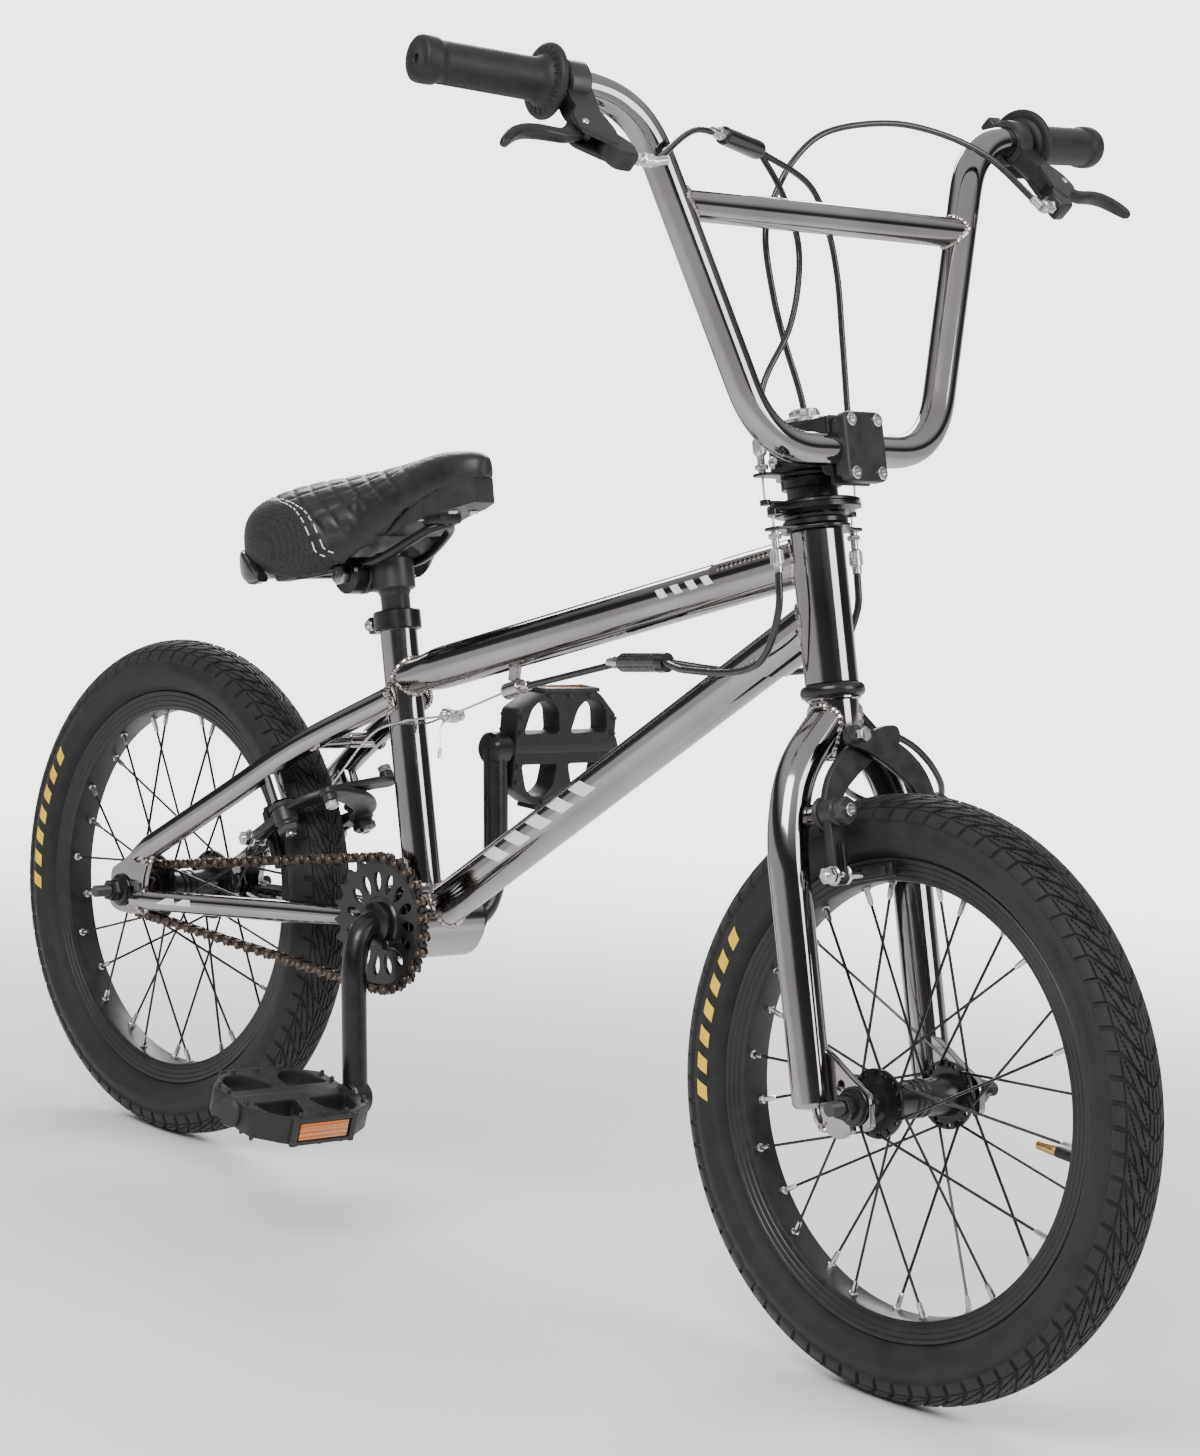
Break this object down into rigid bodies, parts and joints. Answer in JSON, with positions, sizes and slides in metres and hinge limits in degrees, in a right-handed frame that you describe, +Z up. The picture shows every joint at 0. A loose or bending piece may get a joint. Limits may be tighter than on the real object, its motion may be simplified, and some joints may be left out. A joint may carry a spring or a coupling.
{
  "type": "bmx bike",
  "caption": "Small-wheeled BMX bike with a diamond frame, tall braced handlebar, U-brakes, cable detangler, one-piece crank, chain drive and platform pedals.",
  "frame": {"origin": "on the floor under the middle of the bike, half way between the two axles", "axes": "+X forwards from the rear wheel to the front wheel, +Y to the rider's left, +Z up"},
  "size_m": [1.196, 0.6468, 0.8558],
  "materials": {
    "frame_chrome": "dark smoked chrome plate",
    "black_paint": "semi-gloss black",
    "rim_black": "satin black anodised",
    "bright_steel": "bright zinc",
    "chain_bronze": "oiled brown steel",
    "spoke_black": "gloss black",
    "tyre_rubber": "matt black rubber",
    "grip_rubber": "soft black rubber",
    "cable_jacket": "black cable jacket",
    "pedal_plastic": "moulded black",
    "grey_plastic": "moulded grey",
    "saddle_cover": "quilted black vinyl",
    "amber_reflector": "moulded amber reflector",
    "white_mark": "white print and thread",
    "brass": "brass valve"
  },
  "bodies": {
    "frame": {"head_tube": "frame_chrome", "top_tube": "frame_chrome", "down_tube": "frame_chrome", "seat_tube": "frame_chrome", "bottom_bracket_shell": "frame_chrome", "chainstay_right": "frame_chrome", "chainstay_left": "frame_chrome", "seatstay_right": "frame_chrome", "seatstay_left": "frame_chrome", "headset_cup_lower": "black_paint", "headset_cup_upper": "black_paint", "gyro_lower_plate": "black_paint", "rear_cable_housing": "cable_jacket", "rear_straddle_wire": "bright_steel", "rear_axle": "black_paint", "seat_clamp": "black_paint", "chain": "chain_bronze"},
    "seat_post": {"seat_post": "black_paint", "saddle_clamp": "black_paint"},
    "saddle": {"saddle_rails": "black_paint", "saddle_base": "grey_plastic", "saddle_cushion": "saddle_cover"},
    "steering": {"fork": "frame_chrome", "stem": "black_paint", "stem_faceplate": "black_paint", "steerer_bolt": "bright_steel", "headset_nut": "black_paint", "handlebar": "frame_chrome", "grip_left": "grip_rubber", "grip_right": "grip_rubber", "lever_bracket_left": "black_paint", "lever_bracket_right": "black_paint", "gyro_upper_plate": "black_paint", "gyro_upper_cables": "cable_jacket", "front_brake_cable": "cable_jacket", "front_axle": "black_paint"},
    "left_lever": {"brake_lever_left": "black_paint"},
    "right_lever": {"brake_lever_right": "black_paint"},
    "gyro": {"gyro_bearing": "black_paint"},
    "front_brake_right": {"front_brake_arm_right": "black_paint"},
    "front_brake_left": {"front_brake_arm_left": "black_paint"},
    "rear_brake_right": {"rear_brake_arm_right": "black_paint"},
    "rear_brake_left": {"rear_brake_arm_left": "black_paint"},
    "rear_wheel": {"rear_tyre": "tyre_rubber", "rear_rim": "rim_black", "rear_hub": "black_paint", "rear_spokes_right": "spoke_black", "rear_spokes_left": "spoke_black"},
    "front_wheel": {"front_tyre": "tyre_rubber", "front_rim": "rim_black", "front_hub": "black_paint", "front_spokes_right": "spoke_black", "front_spokes_left": "spoke_black"},
    "freewheel": {"freewheel": "chain_bronze"},
    "crankset": {"crank": "black_paint", "chainring": "black_paint", "pedal_spindle_right": "black_paint", "pedal_spindle_left": "black_paint"},
    "pedal_right": {"pedal_right": "pedal_plastic"},
    "pedal_left": {"pedal_left": "pedal_plastic"}
  },
  "joints": [
    {"name": "steering", "type": "hinge", "parent": "frame", "child": "steering", "pos_m": [0.36569, 0, 0.19059], "axis": [-0.2622, 0, 0.965], "continuous": true},
    {"name": "front_wheel_spin", "type": "hinge", "parent": "steering", "child": "front_wheel", "pos_m": [0.3985, 0, 0.1995], "axis": [0, 1, 0], "continuous": true},
    {"name": "rear_wheel_spin", "type": "hinge", "parent": "frame", "child": "rear_wheel", "pos_m": [-0.3985, 0, 0.1995], "axis": [0, 1, 0], "continuous": true},
    {"name": "crank_spin", "type": "hinge", "parent": "frame", "child": "crankset", "pos_m": [-0.0965, 0, 0.227], "axis": [0, 1, 0], "continuous": true},
    {"name": "freewheel_spin", "type": "hinge", "parent": "frame", "child": "freewheel", "pos_m": [-0.3985, 0, 0.1995], "axis": [0, 1, 0], "continuous": true},
    {"name": "right_pedal_spin", "type": "hinge", "parent": "crankset", "child": "pedal_right", "pos_m": [-0.07883, -0.072, 0.10124], "axis": [0, 1, 0], "continuous": true},
    {"name": "left_pedal_spin", "type": "hinge", "parent": "crankset", "child": "pedal_left", "pos_m": [-0.11417, 0.072, 0.35276], "axis": [0, 1, 0], "continuous": true},
    {"name": "right_lever_pull", "type": "hinge", "parent": "steering", "child": "right_lever", "pos_m": [0.25154, -0.22896, 0.80131], "axis": [-0.6302, 0.0739, -0.7729], "range_deg": [0, 25], "stiffness_Nm_per_rad": 0.6, "springref_deg": -11.46},
    {"name": "left_lever_pull", "type": "hinge", "parent": "steering", "child": "left_lever", "pos_m": [0.25154, 0.22896, 0.80131], "axis": [0.6302, 0.0739, 0.7729], "range_deg": [0, 25], "stiffness_Nm_per_rad": 0.6, "springref_deg": -11.46},
    {"name": "gyro_lift", "type": "slide", "parent": "frame", "child": "gyro", "axis": [-0.2622, 0, 0.965], "range_m": [0, 0.008]},
    {"name": "rear_right_arm_swing", "type": "hinge", "parent": "frame", "child": "rear_brake_right", "pos_m": [-0.22786, -0.037, 0.28645], "axis": [0.5621, 0, -0.8271], "range_deg": [0, 1.2]},
    {"name": "rear_left_arm_swing", "type": "hinge", "parent": "frame", "child": "rear_brake_left", "pos_m": [-0.22786, 0.037, 0.28645], "axis": [-0.5621, 0, 0.8271], "range_deg": [0, 1.2]},
    {"name": "front_right_arm_swing", "type": "hinge", "parent": "steering", "child": "front_brake_right", "pos_m": [0.34579, -0.045, 0.38207], "axis": [0.965, 0, 0.2622], "range_deg": [0, 1.2]},
    {"name": "front_left_arm_swing", "type": "hinge", "parent": "steering", "child": "front_brake_left", "pos_m": [0.34579, 0.045, 0.38207], "axis": [-0.965, 0, -0.2622], "range_deg": [0, 1.2]},
    {"name": "seat_height", "type": "slide", "parent": "frame", "child": "seat_post", "axis": [-0.2672, 0, 0.9636], "range_m": [-0.012, 0.055]},
    {"name": "saddle_tilt", "type": "hinge", "parent": "seat_post", "child": "saddle", "pos_m": [-0.18855, 0, 0.47584], "axis": [0, 1, 0], "range_deg": [-8, 8]}
  ],
  "couplings": [
    {"joint": "freewheel_spin", "follows": "crank_spin", "ratio": 2.6667},
    {"joint": "gyro_lift", "follows": "right_lever_pull", "m_per_rad": 0.018},
    {"joint": "rear_right_arm_swing", "follows": "right_lever_pull", "ratio": 0.04},
    {"joint": "rear_left_arm_swing", "follows": "right_lever_pull", "ratio": 0.04},
    {"joint": "front_right_arm_swing", "follows": "left_lever_pull", "ratio": 0.04},
    {"joint": "front_left_arm_swing", "follows": "left_lever_pull", "ratio": 0.04}
  ]
}
